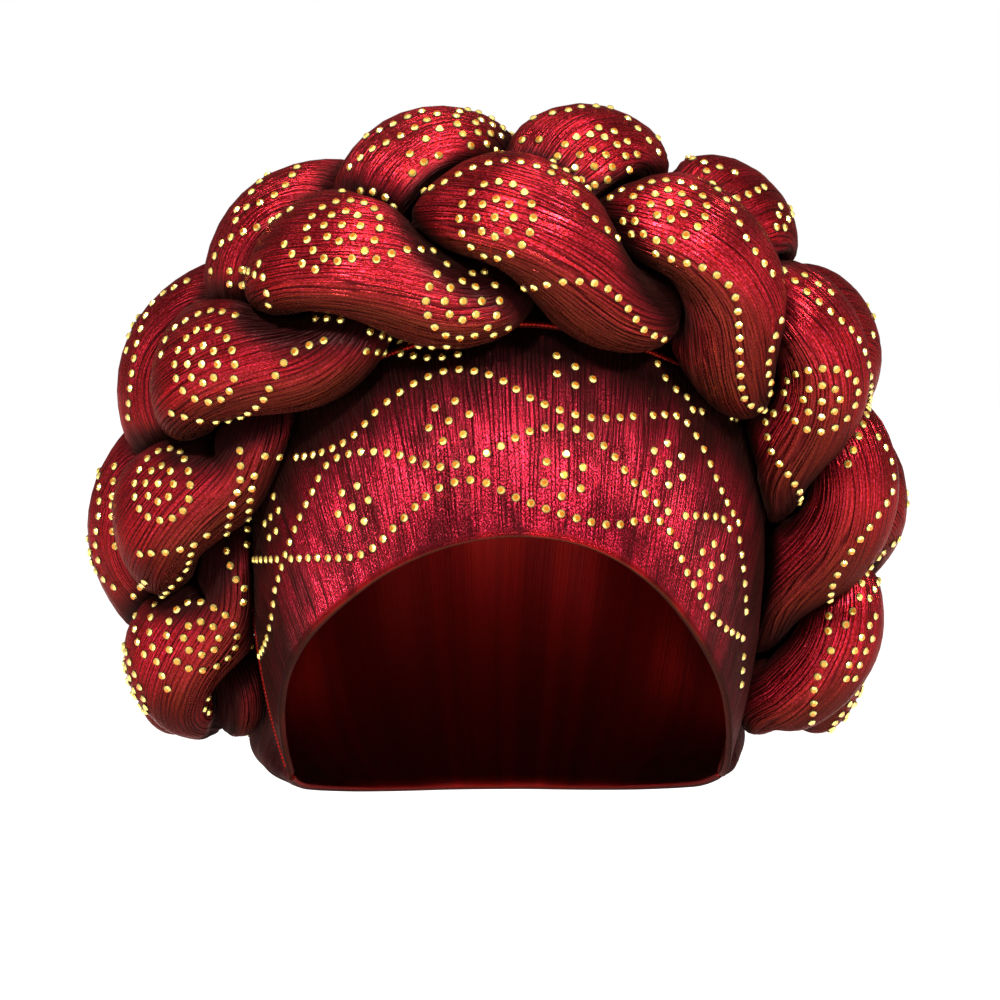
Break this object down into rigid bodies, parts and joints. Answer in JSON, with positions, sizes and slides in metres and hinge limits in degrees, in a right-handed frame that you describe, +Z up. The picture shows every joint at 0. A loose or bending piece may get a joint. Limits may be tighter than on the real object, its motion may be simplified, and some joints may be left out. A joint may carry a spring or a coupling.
{
  "type": "braided turban hat",
  "caption": "Crimson metallic turban hat with a close pleated brow panel, a full back bonnet and a thick padded three-strand braid arched over the crown",
  "frame": {"origin": "inside top of the crown, where the hat rests on the top of the head", "axes": "+Z up, front of the hat towards -Y, wearer's left towards +X"},
  "size_m": [0.272, 0.2295, 0.2276],
  "materials": {
    "pleated_cloth": "satin",
    "bonnet_cloth": "satin",
    "seam_cloth": "satin",
    "braid_cloth": "satin"
  },
  "bodies": {
    "root": {"front_panel": "pleated_cloth", "crown_bonnet": "bonnet_cloth", "seam_piping": "seam_cloth", "braid_strand_1": "braid_cloth", "braid_strand_2": "braid_cloth", "braid_strand_3": "braid_cloth"}
  },
  "joints": []
}
